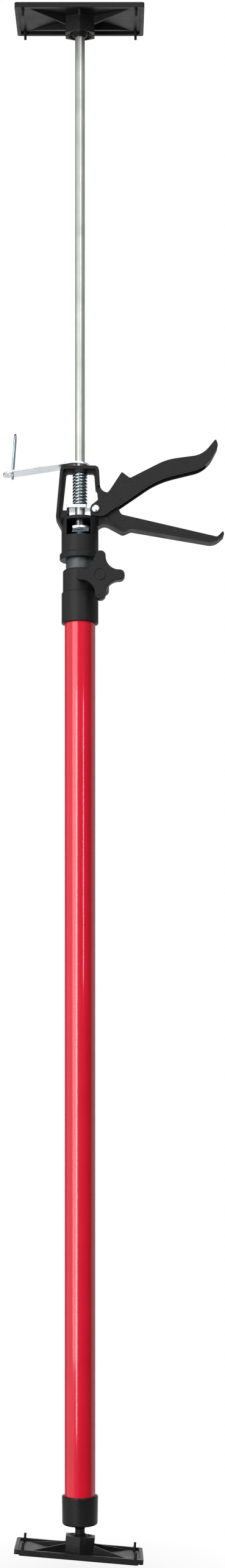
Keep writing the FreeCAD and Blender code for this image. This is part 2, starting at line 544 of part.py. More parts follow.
frame_panel = [
    ("-Sheet.frame_left + Sheet.leg_rim", panel_top, SOFT),
    ("Sheet.frame_right - Sheet.leg_rim", panel_top, SOFT), corner("neck", None, BEND, "-Sheet.leg_rim"),
    ("Sheet.gusset_x", "Sheet.neck_z + " + BEND), corner("gusset"),
    ("Sheet.arch_x + Sheet.edge_round", "Sheet.arch_z + Sheet.handle_flange"),
    corner("armpit", None, "Sheet.handle_flange", "Sheet.handle_flange"),
    corner("haunch", None, "0", "Sheet.leg_rim"), corner("waist", SOFT, "0", "Sheet.leg_rim")]
beyond = "Sheet.nose_x + Sheet.bend_round"


def handle_floor(lift, left):
    """The space above the handle's lower edge, at a lift from it and ending at the left as told."""
    inside = "Sheet.nose_x - (%s)" % lift
    return [("Sheet.arch_x", "Sheet.frame_top"), (beyond, "Sheet.frame_top"), (beyond, "2 * Sheet.tip_z"),
            (inside, "2 * Sheet.tip_z"), (inside, "Sheet.nose_z + Sheet.edge_round", SOFT),
            corner("heel", "Sheet.heel_round - (%s)" % lift, lift), corner("knee", BEND, lift),
            corner("dip", SOFT, lift)] + left


handle_panel = handle_floor("Sheet.handle_flange", [
    corner("arch", "Sheet.arch_round + Sheet.handle_flange", "Sheet.handle_flange"),
    corner("armpit", None, "Sheet.handle_flange", "Sheet.handle_flange"),
    ("Sheet.armpit_x + Sheet.handle_flange", "Sheet.frame_top")])
ledge_panel = handle_floor("Sheet.handle_flange + Sheet.ledge_step", [
    corner("gusset", SOFT, "-" + BEND, BEND), corner("gusset", SOFT), ("Sheet.gusset_x", "Sheet.crown_z")])
web = prism("pump_web", UPRIGHT, "Sheet.web_thickness", [web_edge, opening])
flanges = cut("pump_flanges", prism("flange_blank", UPRIGHT, "Sheet.moulding_depth", [web_edge]),
              prism("frame_panel_space", UPRIGHT, "Sheet.moulding_depth", [frame_panel]),
              prism("handle_panel_space", UPRIGHT, "Sheet.moulding_depth", [handle_panel]))
ledge = cut("pump_ledge", prism("ledge_blank", UPRIGHT, "Sheet.ledge_depth", [web_edge]),
            prism("ledge_frame_space", UPRIGHT, "Sheet.ledge_depth", [frame_panel]),
            prism("ledge_panel_space", UPRIGHT, "Sheet.ledge_depth", [ledge_panel]))
sleeve_turn = turned("sleeve_turn", [
    ("0", "0"), ("Sheet.sleeve_flange / 2", "0", SMALL),
    ("Sheet.sleeve_flange / 2", "Sheet.flange_height", SMALL),
    ("Sheet.sleeve_diameter / 2", "Sheet.flange_height + Sheet.collar_step"),
    ("Sheet.sleeve_diameter / 2", "Sheet.sleeve_height", SMALL), ("0", "Sheet.sleeve_height")])
swing_in = "(%s / 2 - 2 * Sheet.running_gap)" % CHEEK_INSIDE
swing_out = "(Sheet.trigger_depth / 2 + 2 * Sheet.running_gap)"
swings = [crosswise("cheek_swing", "2 * Sheet.cheek_swing", front, back, "Sheet.pivot_x", "Sheet.pivot_rise")
          for front, back in ((swing_in, swing_out), ("-" + swing_out, "-" + swing_in))]
sleeve = cut("pump_sleeve", sleeve_turn, *swings)
boss = cylinder("bridge_boss", "Sheet.boss_diameter", "Sheet.opening_top",
                "Sheet.frame_top - Sheet.edge_round")
post = block("drive_post", ("-Sheet.post_left", "-Sheet.post_depth / 2", "Sheet.shelf_z - Sheet.bend_round"),
             ("-Sheet.post_left + Sheet.post_width", "Sheet.post_depth / 2",
              "Sheet.drive_rise - Sheet.running_gap"))
step_front = "(Sheet.lock_diameter / 2 - Sheet.soft_round)"
step_back = "(Sheet.sleeve_diameter / 2 - Sheet.sleeve_roof)"
lock_ledge = block("lock_ledge", ("-Sheet.lock_step / 2", step_front, "Sheet.tube_seat"),
                   ("Sheet.lock_step / 2", step_back, "Sheet.lock_rise - Sheet.running_gap"))
rod_way = cylinder("rod_way", ROD_HOLE, "0", "2 * Sheet.frame_top")
socket_bore = cylinder("tube_socket", INNER_TUBE + " + 2 * Sheet.seat_gap", "0", "Sheet.tube_seat")
chamber = cylinder("lock_chamber", "Sheet.chamber_diameter", "Sheet.tube_seat", CHAMBER_TOP)
window = block("lock_window", ("-Sheet.window_left", "-Sheet.sleeve_flange", "Sheet.window_sill"),
               ("Sheet.window_right", "0", "Sheet.window_sill + Sheet.window_height"))
pivot_hole = crosswise("pivot_hole", "Sheet.pivot_diameter + 2 * Sheet.seat_gap", "-Sheet.moulding_depth",
                       "Sheet.moulding_depth", "Sheet.pivot_x", "Sheet.pivot_rise")
pump_shell = cut("pump_shell", fuse("pump_blank", web, flanges, ledge, sleeve, boss, post),
                 rod_way, socket_bore, chamber, window, pivot_hole)
pump_body = fuse("pump_body", pump_shell, lock_ledge)
node(place(pump_body, z=SLEEVE_BOTTOM), "pump_body")

# Rivet that the trigger turns on
rivet_half = "(Sheet.trigger_depth / 2 + Sheet.running_gap)"
rivet_end = "(%s + Sheet.rivet_dome)" % rivet_half
dome_round = "0.95 * Sheet.rivet_dome"
rivet = turned("trigger_pivot_pin", [
    ("0", "-" + rivet_end), ("Sheet.rivet_head / 2", "-" + rivet_end, dome_round),
    ("Sheet.rivet_head / 2", "-" + rivet_half), ("Sheet.pivot_diameter / 2", "-" + rivet_half),
    ("Sheet.pivot_diameter / 2", rivet_half), ("Sheet.rivet_head / 2", rivet_half),
    ("Sheet.rivet_head / 2", rivet_end, dome_round), ("0", rivet_end)])
rivet.Placement = UPRIGHT
node(place(rivet, "Sheet.pivot_x", 0, SLEEVE_BOTTOM + " + Sheet.pivot_rise"), "trigger_pivot_pin")

# Trigger: an open channel astride the web, with cams that lift the drive plate
trigger_edge = [
    corner("jaw", "Sheet.jaw_round"), corner("cheek", BEND), corner("shoulder", "Sheet.heel_round"),
    corner("horn", SMALL), corner("notch", SOFT), corner("back", "Sheet.back_round"),
    corner("flick", "Sheet.flick_round"), corner("point", SMALL), corner("fingertip", BEND),
    corner("finger", "Sheet.finger_round"), corner("belly", "Sheet.belly_round"),
    corner("chin", "Sheet.arch_round")]
left, below, wall = "2 * Sheet.jaw_x", "3 * Sheet.jaw_z", "-Sheet.trigger_wall"
channel = [
    (left, below), (left, "Sheet.horn_z"), ("Sheet.cheek_x", "Sheet.horn_z"), corner("hood"),
    corner("horn", SMALL, "1.6 * " + wall), corner("notch", SOFT, wall),
    corner("back", "Sheet.back_round", wall), corner("flick", "Sheet.arch_round", wall),
    corner("finger", SMALL, SOFT, "-Sheet.edge_round"), ("Sheet.point_x", "Sheet.belly_z"),
    ("Sheet.point_x", below)]
cam_top = "(Sheet.drive_rise - Sheet.pivot_rise - 2 / 3 * Sheet.running_gap)"
cam_outer = "(%s / 2)" % CHEEK_INSIDE
cams = [crosswise("lift_cam", "2 * Sheet.cam_radius", front, back, 0, 0)
        for front, back in (("Sheet.cam_inner", cam_outer), ("-" + cam_outer, "-Sheet.cam_inner"))]
cam_seat = block("cam_seat", ("-2 * Sheet.cam_radius", "-" + cam_outer, cam_top),
                 ("-" + PIVOT_HOLE + " / 2", cam_outer, "2 * Sheet.cam_radius"))
cam_pair = cut("lift_cams", fuse("lift_cam_blank", *cams), cam_seat)
trigger_shell = cut("trigger_shell", prism("trigger_blank", UPRIGHT, "Sheet.trigger_depth", [trigger_edge]),
                    prism("trigger_channel", UPRIGHT, CHEEK_INSIDE, [channel]))
trigger = cut("trigger", fuse("trigger_whole", trigger_shell, cam_pair),
              crosswise("trigger_bore", PIVOT_HOLE, "-Sheet.trigger_depth", "Sheet.trigger_depth", 0, 0))
node(place(trigger, "Sheet.pivot_x", 0, SLEEVE_BOTTOM + " + Sheet.pivot_rise"), "trigger")

# Drive plate with its forked tongue, and the spring that presses it down
wide, narrow = "Sheet.drive_depth / 2", "Sheet.tongue_depth / 2"
fork = "(Sheet.web_thickness / 2 + 2 * Sheet.running_gap)"
drive_edge = [
    ("-Sheet.drive_left", "-" + wide, SMALL), ("Sheet.drive_right", "-" + wide, SMALL),
    ("Sheet.drive_right", "-" + narrow), ("Sheet.tongue_end", "-" + narrow), ("Sheet.tongue_end", "-" + fork),
    ("Sheet.fork_start", "-" + fork), ("Sheet.fork_start", fork), ("Sheet.tongue_end", fork),
    ("Sheet.tongue_end", narrow), ("Sheet.drive_right", narrow), ("Sheet.drive_right", wide, SMALL),
    ("-Sheet.drive_left", wide, SMALL)]
drive_plate = layer("drive_plate", "Sheet.drive_rise", SPRING_BOTTOM, [drive_edge], [(ROD_HOLE,)])
node(place(drive_plate, z=SLEEVE_BOTTOM), "drive_plate")


def coil(name, diameter, wire, turns, low, high):
    """A round-wire spring about Z between two levels."""
    body = doc.addObject("PartDesign::Body", name)
    section = body.newObject("Sketcher::SketchObject", name + "_section")
    planes = [feature for feature in body.Origin.OriginFeatures if feature.Role == "XZ_Plane"]
    section.AttachmentSupport = (planes[0], [""])
    section.MapMode = "FlatFace"
    ring(section, wire, "(%s - %s) / 2" % (diameter, wire), "%s + %s / 2" % (low, wire))
    helix = body.newObject("PartDesign::AdditiveHelix", name + "_helix")
    helix.Profile = section
    helix.ReferenceAxis = (section, ["V_Axis"])
    helix.Mode = 2
    bind(helix, Height="(%s) - (%s) - %s" % (high, low, wire), Turns=turns)
    return body


main_spring = coil("main_spring", "Sheet.spring_diameter", "Sheet.spring_wire", "Sheet.spring_turns",
                   SPRING_BOTTOM + " + 2 * Sheet.seat_gap", "Sheet.opening_top - 2 * Sheet.seat_gap")
node(place(main_spring, z=SLEEVE_BOTTOM), "main_spring")

# Lock plate with a lip bent down at its front, and its spring, seen through the sleeve window
lock_hole = "(Sheet.rod_diameter + 4 * Sheet.running_gap)"
lock_disc = layer("lock_disc", "Sheet.lock_rise", LOCK_TOP, [], [("Sheet.lock_diameter",), (lock_hole,)])
lock_trim = block("lock_trim", ("-Sheet.lock_diameter", "-Sheet.lock_diameter", "0"),
                  ("-Sheet.lock_flat", "Sheet.lock_diameter", "2 * " + LOCK_TOP))
lip_low = "(Sheet.lock_rise - Sheet.lip_drop)"
lock_lip = layer("lock_lip", "-Sheet.lip_front", "Sheet.lock_thickness - Sheet.lip_front", [[
    ("-Sheet.lip_left", LOCK_TOP), ("-Sheet.lip_left - Sheet.lip_slant", lip_low + " - " + SMALL),
    ("Sheet.lip_right", lip_low), ("Sheet.lip_right", LOCK_TOP)]], plane=UPRIGHT)
lock_plate = fuse("lock_plate", cut("lock_leaf", lock_disc, lock_trim), lock_lip)
node(place(lock_plate, z=SLEEVE_BOTTOM), "lock_plate")
lock_spring = coil("lock_spring", "Sheet.lock_spring_diameter", "Sheet.lock_spring_wire",
                   "Sheet.lock_spring_turns", LOCK_TOP + " + 2 * Sheet.seat_gap",
                   CHAMBER_TOP + " - 2 * Sheet.seat_gap")
node(place(lock_spring, z=SLEEVE_BOTTOM), "lock_spring")

# Release lever lying on the frame, and the wire loop at its end
heel_low = "(Sheet.frame_top + Sheet.lever_gap)"
lever_side = prism("lever_side", UPRIGHT, "Sheet.lever_width", [[
    ("Sheet.lever_heel", heel_low), ("Sheet.lever_heel", heel_low + " + Sheet.lever_thickness"),
    ("-Sheet.lever_crest", "Sheet.lever_crest_rise + Sheet.lever_thickness", "Sheet.lever_bend"),
    ("-Sheet.lever_tip", "Sheet.lever_tip_rise + Sheet.lever_thickness"),
    ("-Sheet.lever_tip", "Sheet.lever_tip_rise"),
    ("-Sheet.lever_crest", "Sheet.lever_crest_rise", "Sheet.lever_bend - Sheet.lever_thickness")]])
half, bend = "Sheet.lever_width / 2", "0.48 * Sheet.lever_width"
slot = "Sheet.lever_slot / 2"
slot_half = "(%s / 2 + Sheet.running_gap)" % ROD_HOLE
lever_plan = layer("lever_plan", "0", "2 * Sheet.frame_top", [
    [("-Sheet.lever_tip", "-" + half, bend), ("Sheet.lever_heel", "-" + half, bend),
     ("Sheet.lever_heel", half, bend), ("-Sheet.lever_tip", half, bend)],
    [("-" + slot, "-" + slot_half, BEND), (slot, "-" + slot_half, BEND), (slot, slot_half, BEND),
     ("-" + slot, slot_half, BEND)]], [("Sheet.lever_hole", "-Sheet.lever_hole_x")])
lever_blank = doc.addObject("Part::MultiCommon", "lever_blank")
lever_blank.Shapes = [lever_side, lever_plan]

loop_origin = "(Sheet.lever_tip_rise + (Sheet.lever_crest_rise - Sheet.lever_tip_rise)"
loop_origin += " * (Sheet.lever_tip - Sheet.loop_base) / (Sheet.lever_tip - Sheet.lever_crest))"


def lean(thing):
    """Stand a piece of the wire loop on the lever, leaning with it."""
    thing.Placement = FreeCAD.Placement(FreeCAD.Vector(), FreeCAD.Rotation(FreeCAD.Vector(0, 1, 0), 1))
    bind(thing, Placement__Rotation__Angle="atan((Sheet.loop_base - Sheet.loop_top) / Sheet.loop_height)")
    return place(thing, "-Sheet.loop_base", 0, loop_origin)


leg_top = "(Sheet.loop_height - Sheet.loop_half_width)"
legs, leg_holes = [], []
for side in (-1, 1):
    y = "%d * Sheet.loop_half_width" % side
    legs.append(cylinder("loop_leg", "Sheet.loop_wire", "-Sheet.loop_foot", leg_top, y=y))
    leg_holes.append(cylinder("loop_leg_hole", "Sheet.loop_wire + 2 * Sheet.seat_gap",
                              "-Sheet.loop_foot", "Sheet.loop_foot * 2", y=y))
loop_arch = doc.addObject("Part::Torus", "loop_arch")
loop_arch.Angle3 = 180
loop_arch.Placement = SIDE
bind(loop_arch, Radius1="Sheet.loop_half_width", Radius2="Sheet.loop_wire / 2")
place(loop_arch, z=leg_top)
lever = cut("release_lever", lever_blank, lean(fuse("loop_leg_holes", *leg_holes)))
node(place(lever, z=SLEEVE_BOTTOM), "release_lever")
loop_wire = fuse("release_loop", *legs, loop_arch)
node(lean(loop_wire), "release_wire_loop")
place(loop_wire, "-Sheet.loop_base", 0, SLEEVE_BOTTOM + " + " + loop_origin)

# Rod, its guide inside the inner tube, and the head on its ball
rod_top = "(%s + Sheet.rod_seat)" % HEAD_BALL
rod_bottom = "(%s - Sheet.rod_length)" % rod_top
rod_half = "Sheet.rod_diameter / 2"
rod_end = rod_half + " - Sheet.rod_chamfer"
rod = turned("push_rod", [
    ("0", "0"), (rod_end, "0"), (rod_half, "Sheet.rod_chamfer"),
    (rod_half, "Sheet.rod_length - Sheet.rod_chamfer"), (rod_end, "Sheet.rod_length"),
    ("0", "Sheet.rod_length")])
node(place(rod, z=rod_bottom), "push_rod")

guide_outside = "(%s / 2 - Sheet.running_gap / 3)" % INNER_BORE
guide_bore = "(Sheet.rod_diameter / 2 + Sheet.seat_gap)"
guide = turned("rod_end_guide", [
    (guide_bore, "0"), (guide_outside, "0", SMALL), (guide_outside, "Sheet.guide_length", SMALL),
    (guide_bore, "Sheet.guide_length")])
node(place(guide, z=rod_bottom + " + Sheet.guide_rise"), "rod_end_guide")

collar_end = "(-Sheet.ball_depth - Sheet.collar_drop)"
ball_collar = turned("head_ball_collar", [
    ("0", collar_end), ("Sheet.ball_collar / 2", collar_end, SMALL),
    ("Sheet.ball_collar / 2", "-Sheet.ball_depth / 2"), ("0", "-Sheet.ball_depth / 2")])
rod_pocket = cylinder("head_rod_pocket", ROD_HOLE, "-2 * Sheet.ball_diameter",
                      "Sheet.rod_seat + Sheet.running_gap")
head_ball = cut("head_ball", fuse("head_ball_blank", ball("head_ball_round"), ball_collar), rod_pocket)
node(place(head_ball, z=HEAD_BALL), "head_ball")
pad_pieces("head", 1, HEAD_BALL, 0, "Sheet.head_tilt")

doc.recompute()
for thing in doc.Objects:
    if "Invalid" in thing.State or "Error" in thing.State:
        raise RuntimeError("%s did not build: %s" % (thing.Name, thing.State))
os.makedirs("parts", exist_ok=True)
for piece in nodes:
    shape = piece.Shape
    if shape.isNull() or not shape.isValid():
        raise RuntimeError("%s is not a valid solid" % piece.Label)
    shape.exportStep("parts/%s.step" % piece.Label)
    print(piece.Label, len(shape.Solids), "solids", round(shape.Volume), "mm3",
          [round(c, 1) for c in (shape.BoundBox.ZMin, shape.BoundBox.ZMax)])
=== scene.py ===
# %% [markdown]
# # A telescopic support prop, dressed for a studio picture
# The prop holds a board against a ceiling. Its solids, sizes and joints come ready made from
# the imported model, so this lesson adds what a solid model lacks: finishes, soft edges,
# springs of real wire, light and a camera.

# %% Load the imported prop
import bpy
import bmesh
import math
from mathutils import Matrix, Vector


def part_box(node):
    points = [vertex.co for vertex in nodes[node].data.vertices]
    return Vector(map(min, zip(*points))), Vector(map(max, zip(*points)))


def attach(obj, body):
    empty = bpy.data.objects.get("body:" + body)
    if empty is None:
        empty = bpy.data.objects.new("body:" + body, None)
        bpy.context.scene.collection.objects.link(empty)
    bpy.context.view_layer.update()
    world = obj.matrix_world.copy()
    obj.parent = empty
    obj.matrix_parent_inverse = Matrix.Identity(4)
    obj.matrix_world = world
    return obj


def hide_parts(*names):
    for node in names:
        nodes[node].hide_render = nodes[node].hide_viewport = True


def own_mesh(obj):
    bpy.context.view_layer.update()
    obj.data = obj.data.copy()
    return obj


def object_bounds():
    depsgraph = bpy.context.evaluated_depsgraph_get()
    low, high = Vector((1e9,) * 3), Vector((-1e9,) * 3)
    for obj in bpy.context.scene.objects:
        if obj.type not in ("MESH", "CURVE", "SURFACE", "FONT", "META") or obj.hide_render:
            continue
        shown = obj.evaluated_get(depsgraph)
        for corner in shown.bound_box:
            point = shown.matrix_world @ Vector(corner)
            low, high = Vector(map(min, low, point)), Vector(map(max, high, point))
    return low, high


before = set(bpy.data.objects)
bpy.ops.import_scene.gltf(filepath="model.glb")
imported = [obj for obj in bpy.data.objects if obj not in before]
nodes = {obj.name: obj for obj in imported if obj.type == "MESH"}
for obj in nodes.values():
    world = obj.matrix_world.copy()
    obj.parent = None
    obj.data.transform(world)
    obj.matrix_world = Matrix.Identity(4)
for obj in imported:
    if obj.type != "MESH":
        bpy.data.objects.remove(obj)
cad_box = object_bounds()
print("height of the prop in metres:", round(cad_box[1][2] - cad_box[0][2], 3))

# %% [markdown]
# ## A small kit for finishes
# Every finish starts from one Principled shader. Its pattern is measured in the prop's own
# metres through the Object output, so a grain of half a millimetre stays that size on every
# piece, and it moves along with the piece. Numbers that are the same all over a surface are
# set straight on the shader; only what varies is wired.

# %% Start a finish
def new_finish(name, color, metallic, roughness, specular=0.5):
    """A material with one Principled shader, and the nodes it is made of."""
    material = bpy.data.materials.new(name)
    material.use_nodes = True
    tree = material.node_tree
    shader = tree.nodes["Principled BSDF"]
    shader.inputs["Base Color"].default_value = (*color, 1)
    shader.inputs["Metallic"].default_value = metallic
    shader.inputs["Roughness"].default_value = roughness
    shader.inputs["Specular IOR Level"].default_value = specular
    where = tree.nodes.new("ShaderNodeTexCoord")
    return material, tree, shader, where.outputs["Object"]


def stretched(tree, where, stretch):
    """The same place, read through a longer or shorter ruler on each axis."""
    ruler = tree.nodes.new("ShaderNodeMapping")
    ruler.inputs["Scale"].default_value = stretch
    tree.links.new(where, ruler.inputs["Vector"])
    return ruler.outputs["Vector"]


def cloud(tree, where, scale, detail=3.0):
    """A soft noise with about `scale` spots to the metre."""
    noise = tree.nodes.new("ShaderNodeTexNoise")
    noise.inputs["Scale"].default_value = scale
    noise.inputs["Detail"].default_value = detail
    tree.links.new(where, noise.inputs["Vector"])
    return noise.outputs["Fac"]


print("a finish can be started and given a noise")

# %% [markdown]
# A noise does nothing until it drives something. It can slide a colour or a roughness between
# two values, or it can raise fine bumps. The bumps are far smaller than any edge, so they are
# left to the shader, and so is the last softening of the edges.

# %% Let a noise drive the shader
BEVEL_SAMPLES = 6


def between(tree, amount, low, high, socket, spread=0.2):
    """Drive a socket from low to high as a noise rises through its middle."""
    ramp = tree.nodes.new("ShaderNodeValToRGB")
    places = (0.5 - spread, 0.5 + spread)
    for stop, place, level in zip(ramp.color_ramp.elements, places, (low, high)):
        stop.position = place
        stop.color = (*level, 1) if isinstance(level, tuple) else (level, level, level, 1)
    tree.links.new(amount, ramp.inputs["Fac"])
    tree.links.new(ramp.outputs["Color"], socket)


def relief(tree, shader, height, depth, strength, rounding=0.0):
    """Turn a noise into fine bumps of about `depth` metres, on edges that shade as rounded."""
    bump = tree.nodes.new("ShaderNodeBump")
    bump.inputs["Distance"].default_value = depth
    bump.inputs["Strength"].default_value = strength
    tree.links.new(height, bump.inputs["Height"])
    if rounding:
        soft = tree.nodes.new("ShaderNodeBevel")
        soft.samples = BEVEL_SAMPLES
        soft.inputs["Radius"].default_value = rounding
        tree.links.new(soft.outputs["Normal"], bump.inputs["Normal"])
    tree.links.new(bump.outputs["Normal"], shader.inputs["Normal"])


print("a noise can drive a colour, a roughness or bumps")

# %% [markdown]
# ## Red enamel on the outer tube
# The real tube is sprayed and baked. Such paint is a colour under a clear skin, so the shader
# gets a coat. The skin is sharp and takes all the gloss, and the colour under it is nearly dull,
# which keeps the red deep beside the streaks. A faint orange peel and a slow drift of the colour
# along the tube keep it from looking printed.

# %% Red enamel
DRIFT_PER_METRE = 14
SHEEN_PER_METRE = 160
PEEL_PER_METRE = 700
red_deep, red_pale = (0.6, 0.006, 0.022), (0.68, 0.008, 0.03)

red_enamel, tree, shader, where = new_finish(
    "red_enamel", (0.64, 0.007, 0.026), metallic=0.0, roughness=0.4, specular=0.1)
shader.inputs["Coat Weight"].default_value = 1.0
shader.inputs["Coat Roughness"].default_value = 0.07
drift = cloud(tree, where, DRIFT_PER_METRE)
sheen = cloud(tree, where, SHEEN_PER_METRE)
peel = cloud(tree, where, PEEL_PER_METRE, detail=1.0)
between(tree, drift, red_deep, red_pale, shader.inputs["Base Color"])
between(tree, sheen, 0.34, 0.46, shader.inputs["Roughness"])
relief(tree, shader, peel, depth=0.0002, strength=0.05)
print("made", red_enamel.name)

# %% [markdown]
# ## Bright zinc on the rod, plates and wire
# Zinc plating is a bluish metal with a fine drawn grain. The grain is a noise read through a
# long ruler along the piece, which turns round spots into streaks. The streaks change the
# roughness, as they do on real plating, and broad blotches change the tone. The inner tube has
# the same drawn grain, darker and duller. The rivet's head shades as a dome, so its edge rounding
# reaches far into the head.

# %% Plated and drawn metal
BLOTCHES_PER_METRE = 45
GRAIN_PER_METRE = 60
EDGE_ROUNDING = 0.0004
RIVET_ROUNDING = 0.003
rod_grain, tube_grain, plate_grain, no_grain = (30, 30, 0.4), (30, 30, 0.5), (0.6, 20, 20), (1, 1, 1)


def blotches(tree, where):
    """Broad patches of tone."""
    return cloud(tree, where, BLOTCHES_PER_METRE)


def plated(name, stretch, tones, gloss, rounding=EDGE_ROUNDING, metallic=1.0, shade=blotches):
    """A metal with a drawn grain; tones and gloss are pairs of low and high."""
    material, tree, shader, where = new_finish(name, tones[1], metallic, gloss[0])
    grain = cloud(tree, stretched(tree, where, stretch), GRAIN_PER_METRE, detail=4.0)
    between(tree, shade(tree, where), *tones, shader.inputs["Base Color"])
    between(tree, grain, *gloss, shader.inputs["Roughness"])
    relief(tree, shader, grain, 0.0001, 0.08, rounding)
    return material


rod_tones = (0.40, 0.42, 0.39), (0.49, 0.51, 0.48)
plate_tones = (0.64, 0.67, 0.70), (0.78, 0.81, 0.83)
bolt_tones = (0.60, 0.63, 0.66), (0.74, 0.77, 0.79)
rivet_tones = (0.76, 0.80, 0.82), (0.86, 0.90, 0.92)
wire_tones = (0.24, 0.33, 0.36), (0.44, 0.54, 0.58)
tube_tones = (0.075, 0.083, 0.088), (0.105, 0.113, 0.118)
drawn_zinc = plated("drawn_zinc", rod_grain, rod_tones, (0.34, 0.46), metallic=0.88)
stamped_zinc = plated("stamped_zinc", plate_grain, plate_tones, (0.26, 0.4))
plain_zinc = plated("plain_zinc", no_grain, bolt_tones, (0.18, 0.3))
rivet_zinc = plated("rivet_zinc", no_grain, rivet_tones, (0.2, 0.3), RIVET_ROUNDING)
spring_zinc = plated("spring_zinc", no_grain, wire_tones, (0.1, 0.2))
dark_steel = plated("dark_steel", tube_grain, tube_tones, (0.5, 0.62))
for finish in (drawn_zinc, stamped_zinc, plain_zinc, rivet_zinc, spring_zinc, dark_steel):
    print("made", finish.name)

# %% [markdown]
# ## A lock plate with a painted shade under its bend
# The lock plate is a bright leaf with a lip bent down at its front. Deep in the sleeve's window the lip
# is in the dark, while the leaf above it still shines. That shade is painted into the colour: a soft
# step along the height gives the lip a dark painted shade, and the leaf above keeps its bright zinc.

# %% Lock plate zinc with a painted shade on the lip
LEAF_DEPTH = 0.0023
STEP_BELOW, STEP_ABOVE = 0.0008, 0.0002
bend_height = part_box("lock_plate")[1][2] - LEAF_DEPTH


def rescaled(tree, amount, low, high, to_low, to_high):
    """Carry an amount from one range into another, held at both ends."""
    scale = tree.nodes.new("ShaderNodeMapRange")
    scale.inputs["From Min"].default_value = low
    scale.inputs["From Max"].default_value = high
    scale.inputs["To Min"].default_value = to_low
    scale.inputs["To Max"].default_value = to_high
    tree.links.new(amount, scale.inputs["Value"])
    return scale.outputs["Result"]


def painted_lip_shade_step(tree, where):
    """0 on the lip under the bend, which gets the painted shade, and 1 on the leaf above it."""
    place = tree.nodes.new("ShaderNodeSeparateXYZ")
    tree.links.new(where, place.inputs["Vector"])
    low, high = bend_height - STEP_BELOW, bend_height + STEP_ABOVE
    return rescaled(tree, place.outputs["Z"], low, high, 0.0, 1.0)


# The low tone is a painted shade for the lip in the sleeve's window; the high tone is the leaf's own
# zinc.
lip_painted_shade_and_leaf_tones = (0.10, 0.12, 0.13), (0.72, 0.75, 0.77)
lock_zinc_painted_shade = plated("lock_zinc_painted_shade", plate_grain, lip_painted_shade_and_leaf_tones, (0.26, 0.4), shade=painted_lip_shade_step)
print("made", lock_zinc_painted_shade.name, "with its bend at", round(bend_height * 1000, 1), "mm")

# %% [markdown]
# ## Black moulded plastic and rubber
# The pads, collar, cap and pump head are glass-filled plastic with a spark-eroded skin. Two
# noises make it: a fine one for the grain you can feel, a broad one for the slight sheen and
# flow marks. The pads and the cap come from a smoother mould, and the knob has rounder edges.
# Rubber is the same idea, blacker, rougher and with a softer grain.

# %% Black plastic and rubber
FLOW_PER_METRE = 70
PLASTIC_GRAIN, RUBBER_GRAIN = 1300, 900
along_flow = (1, 1, 0.6)


def moulded(name, tones, gloss, grain_per_metre, depth, rounding, specular=0.2):
    """A grained moulding with soft edges; tones and gloss are pairs of low and high."""
    material, tree, shader, where = new_finish(name, tones[1], 0.0, gloss[1], specular)
    speck = cloud(tree, where, grain_per_metre)
    flow = cloud(tree, stretched(tree, where, along_flow), FLOW_PER_METRE, detail=4.0)
    between(tree, speck, *tones, shader.inputs["Base Color"], spread=0.16)
    between(tree, flow, *gloss, shader.inputs["Roughness"])
    relief(tree, shader, speck, depth, 0.3, rounding)
    return material


plastic_tones = (0.006, 0.006, 0.0065), (0.0145, 0.0145, 0.0155)
rubber_tones = (0.006, 0.006, 0.006), (0.01, 0.01, 0.01)
black_plastic = moulded("black_plastic", plastic_tones, (0.42, 0.54), PLASTIC_GRAIN, 0.0003, 0.0008)
pad_plastic = moulded("pad_plastic", plastic_tones, (0.32, 0.42), PLASTIC_GRAIN, 0.00012, 0.0008, 0.17)
knob_plastic = moulded("knob_plastic", plastic_tones, (0.38, 0.5), PLASTIC_GRAIN, 0.0003, 0.0018)
black_rubber = moulded("black_rubber", rubber_tones, (0.6, 0.8), RUBBER_GRAIN, 0.0003, 0.0005)
for finish in (black_plastic, pad_plastic, knob_plastic, black_rubber):
    print("made", finish.name)

# %% [markdown]
# ## Dress the solids
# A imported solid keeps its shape, so dressing it means two things only: its material slots get
# a finish, and a bevel modifier breaks its sharp edges. Real edges always catch a thin line of
# light, and without it plastic looks like paper.

# %% Finishes
finishes = {
    red_enamel: ["outer_tube"],
    dark_steel: ["inner_tube"],
    drawn_zinc: ["push_rod"],
    stamped_zinc: ["drive_plate", "release_lever"],
    lock_zinc_painted_shade: ["lock_plate"],
    plain_zinc: ["clamp_bolt", "clamp_nut", "clamp_washer"],
    spring_zinc: ["release_wire_loop"],
    rivet_zinc: ["trigger_pivot_pin"],
    black_plastic: ["clamp_collar", "inner_tube_glide", "pump_body", "rod_end_guide", "trigger"],
    pad_plastic: ["end_cap", "foot_ball_stud", "foot_plate", "head_ball", "head_plate"],
    knob_plastic: ["star_knob"],
    black_rubber: ["foot_rubber_pad", "head_rubber_pad"],
}
for material, names in finishes.items():
    for name in names:
        nodes[name].data.materials.clear()
        nodes[name].data.materials.append(material)
print("dressed", sum(len(names) for names in finishes.values()), "solids")

# %% [markdown]
# The edge breaks are as wide as a mould or a press leaves them, from a third of a millimetre on
# stamped plates to most of a millimetre on the knob. Round tubes and turned pieces need none.

# %% Edge breaks
SHARP_EDGE = math.radians(40)
edge_breaks = {
    "pump_body": 0.0004, "trigger": 0.0005, "star_knob": 0.0008, "clamp_collar": 0.0005,
    "foot_plate": 0.0004, "head_plate": 0.0004, "foot_rubber_pad": 0.0003, "head_rubber_pad": 0.0003,
    "release_lever": 0.0003, "drive_plate": 0.0003,
}
for name, width in edge_breaks.items():
    bevel = nodes[name].modifiers.new("edge break", "BEVEL")
    bevel.width = width
    bevel.segments = 2
    bevel.limit_method = "ANGLE"
    bevel.angle_limit = SHARP_EDGE
    bevel.harden_normals = True
print("broke the edges of", len(edge_breaks), "solids")

# %% [markdown]
# ## Springs of round wire
# A spring is a circle carried along a helix. The first and last turns lie flat, as a closed end does,
# so the climb eases in and out. The wire is built as a mesh.

# %% Wire along a helix
STEPS_PER_TURN = 28
WIRE_SIDES = 10
CLOSED_PITCH = 0.96  # rise of a closed turn, in wire thicknesses


